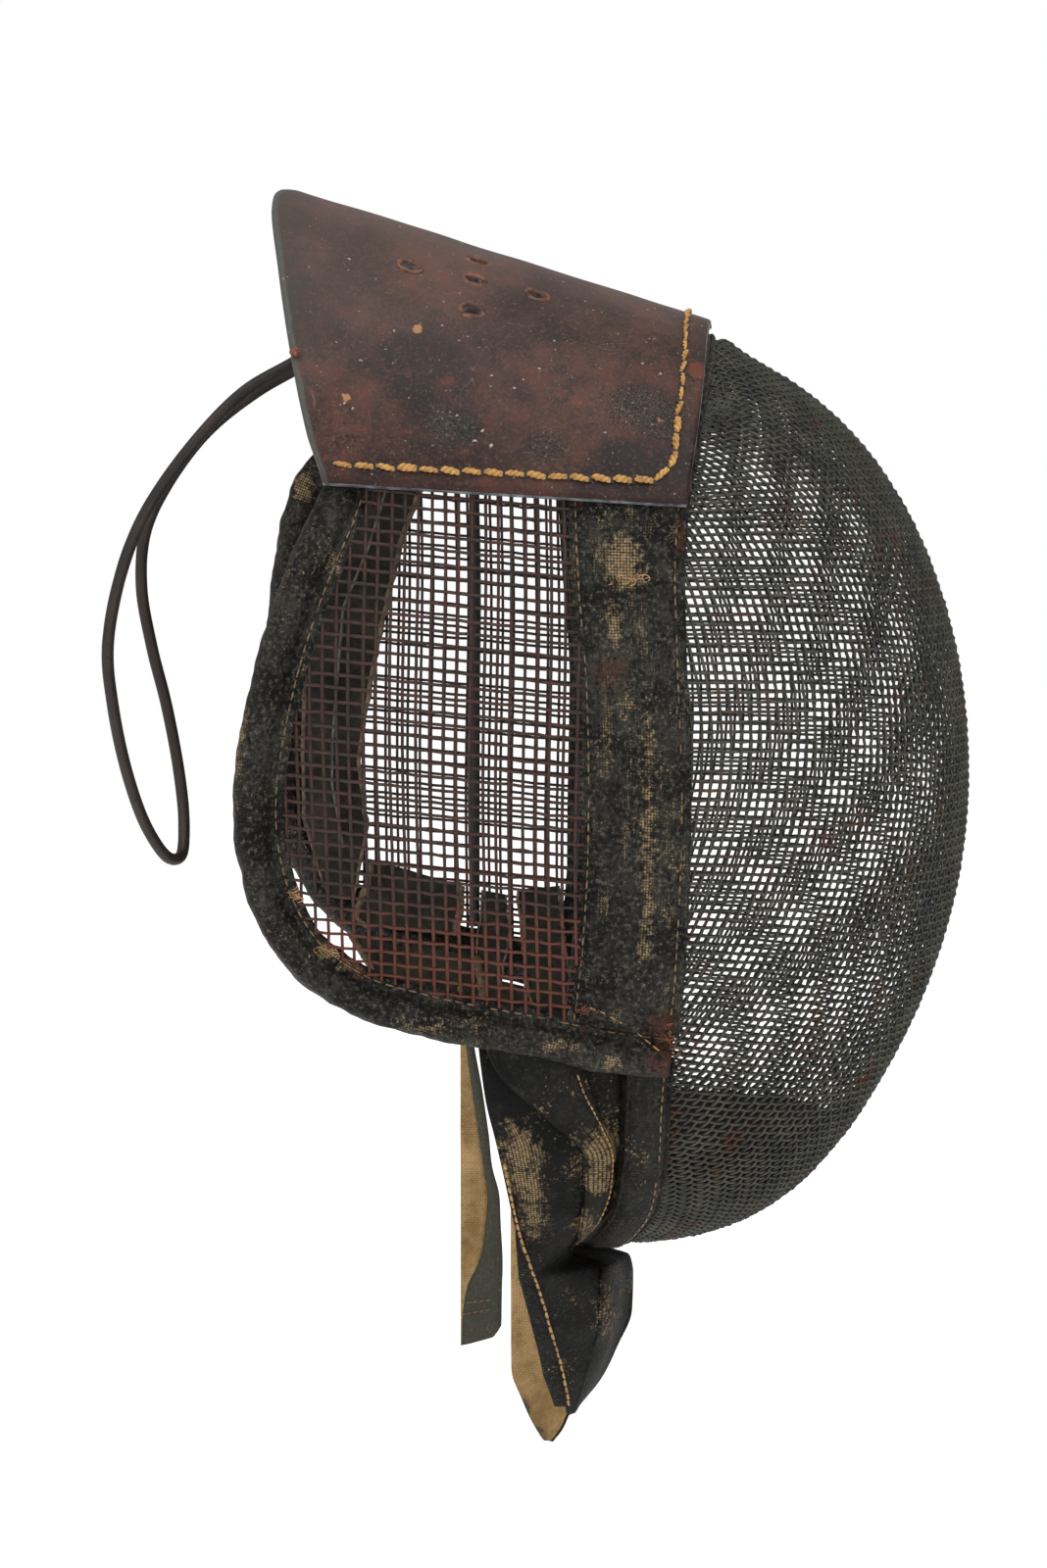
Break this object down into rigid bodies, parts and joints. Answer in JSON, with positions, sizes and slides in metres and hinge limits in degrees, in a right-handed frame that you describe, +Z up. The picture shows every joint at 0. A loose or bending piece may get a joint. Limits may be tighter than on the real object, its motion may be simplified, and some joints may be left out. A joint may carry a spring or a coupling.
{
  "type": "fencing mask",
  "caption": "Fencing mask with a domed woven wire face, wire side nets, arched leather crown, padded cloth edges, hanging throat bib and a rear head spring.",
  "frame": {"origin": "head seat: inside top of the crown, on the middle plane, where the mask sits on the head", "axes": "+X the way the face looks, +Y the wearer's left, +Z up"},
  "size_m": [0.2856, 0.199, 0.4215],
  "materials": {
    "face_wire": "dark olive grey woven steel wire with light rust",
    "net_wire": "rust brown woven wire",
    "spring_wire": "dark brown black wire",
    "keeper_steel": "dull rusty sheet steel",
    "leather": "thick dark reddish brown leather, scuffed, half gloss",
    "oilcloth": "black oilcloth, dull sheen, worn at the edges",
    "worn_oilcloth": "black oilcloth worn through to its tan weave",
    "lining_cloth": "dark cloth lining",
    "tan_cloth": "tan lining with a dark binding"
  },
  "bodies": {
    "root": {"face_mesh": "face_wire", "side_net_right": "net_wire", "side_net_left": "net_wire", "net_rod": "spring_wire", "crown_leather": "leather", "arch_band": "oilcloth", "side_band_right": "oilcloth", "side_band_left": "oilcloth", "edge_roll_right": "oilcloth", "edge_roll_left": "oilcloth", "chin_band": "oilcloth", "chin_lining": "lining_cloth", "bib": "worn_oilcloth", "bib_strap": "tan_cloth", "head_spring": "spring_wire", "spring_keeper": "keeper_steel"}
  },
  "joints": []
}
